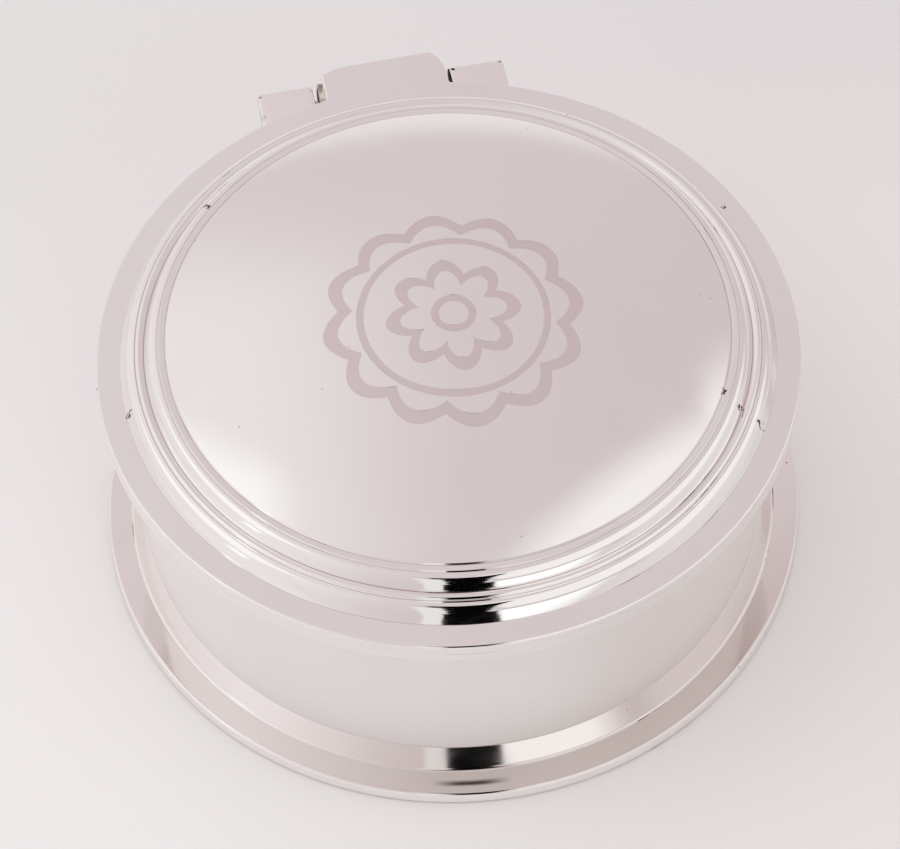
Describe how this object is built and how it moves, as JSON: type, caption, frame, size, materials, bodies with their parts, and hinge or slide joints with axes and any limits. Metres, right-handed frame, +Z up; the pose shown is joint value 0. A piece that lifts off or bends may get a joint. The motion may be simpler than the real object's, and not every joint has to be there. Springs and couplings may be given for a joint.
{
  "type": "pill box",
  "caption": "Round polished metal pill box on a spread foot, with a hinged lid that steps up through beaded mouldings to a low dome.",
  "frame": {"origin": "centre of the flat underside, on the axis of the round body", "axes": "+Z up along the body's axis, +Y towards the hinge, +X to the right seen from the front"},
  "size_m": [0.052, 0.0539, 0.0251],
  "materials": {
    "body_plate": "mirror polished silver plate",
    "lid_plate": "mirror polished silver plate",
    "inside_plate": "satin silver plate",
    "pin_metal": "bright drawn wire"
  },
  "bodies": {
    "body": {"base_plate": "inside_plate", "foot_ring": "body_plate", "body_wall": "body_plate", "body_rim": "body_plate", "locating_bezel": "inside_plate", "left_knuckle": "body_plate", "right_knuckle": "body_plate", "hinge_pin": "pin_metal"},
    "lid": {"lid_rim": "lid_plate", "lid_moulding": "lid_plate", "lid_dome": "lid_plate", "lid_knuckle": "lid_plate"}
  },
  "joints": [
    {"name": "lid_hinge", "type": "hinge", "parent": "body", "child": "lid", "pos_m": [0, 0.026, 0.017], "axis": [-1, 0, 0], "range_deg": [0, 105]}
  ]
}
